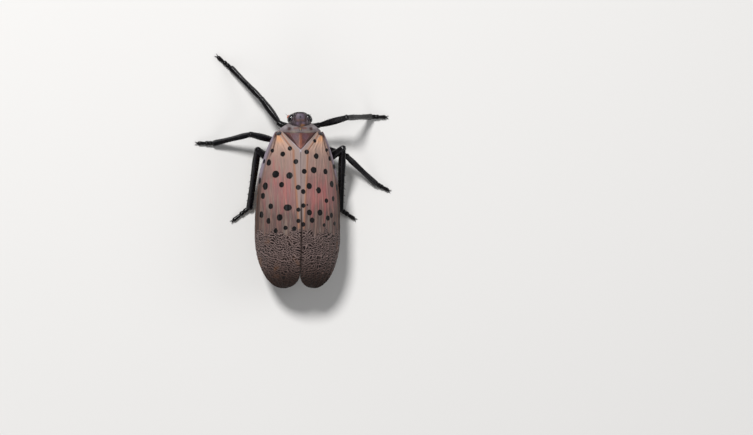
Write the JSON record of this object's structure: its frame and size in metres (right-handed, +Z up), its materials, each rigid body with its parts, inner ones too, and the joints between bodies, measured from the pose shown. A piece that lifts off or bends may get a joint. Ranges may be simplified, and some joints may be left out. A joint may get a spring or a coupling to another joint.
{
  "type": "spotted lanternfly",
  "caption": "Life-size spotted lanternfly standing with its spotted wings folded like a roof over the body.",
  "frame": {"origin": "centre of the insect's bounding box, on the floor that its feet stand on", "axes": "+Z up, the head points to -Y, the insect's left side is +X"},
  "size_m": [0.029, 0.0342, 0.011],
  "materials": {
    "forewing": "satin grey-tan membrane with black spots and raised veins",
    "hindwing": "thin folded membrane, red with dark rear",
    "head_shell": "grey-lilac shell with fine pits",
    "eye": "glossy black faceted eye",
    "antenna": "orange-red bulb with a dark bristle",
    "mouthparts": "dark brown beak",
    "collar": "pale grey satin shell",
    "thorax_shell": "maroon and dark grey shell",
    "abdomen_shell": "yellow satin skin with black plates",
    "leg": "black, half-gloss, ridged"
  },
  "bodies": {
    "root": {"head": "head_shell", "eye_left": "eye", "eye_right": "eye", "antenna_left": "antenna", "antenna_right": "antenna", "rostrum": "mouthparts", "pronotum": "collar", "thorax": "thorax_shell", "abdomen": "abdomen_shell", "forewing_left": "forewing", "forewing_right": "forewing", "hindwing_left": "hindwing", "hindwing_right": "hindwing", "foreleg_left_coxa": "leg", "foreleg_left_femur": "leg", "foreleg_left_tibia": "leg", "foreleg_left_tarsus": "leg", "foreleg_right_coxa": "leg", "foreleg_right_femur": "leg", "foreleg_right_tibia": "leg", "foreleg_right_tarsus": "leg", "midleg_left_coxa": "leg", "midleg_left_femur": "leg", "midleg_left_tibia": "leg", "midleg_left_tarsus": "leg", "midleg_right_coxa": "leg", "midleg_right_femur": "leg", "midleg_right_tibia": "leg", "midleg_right_tarsus": "leg", "hindleg_left_coxa": "leg", "hindleg_left_femur": "leg", "hindleg_left_tibia": "leg", "hindleg_left_tarsus": "leg", "hindleg_right_coxa": "leg", "hindleg_right_femur": "leg", "hindleg_right_tibia": "leg", "hindleg_right_tarsus": "leg"}
  },
  "joints": []
}
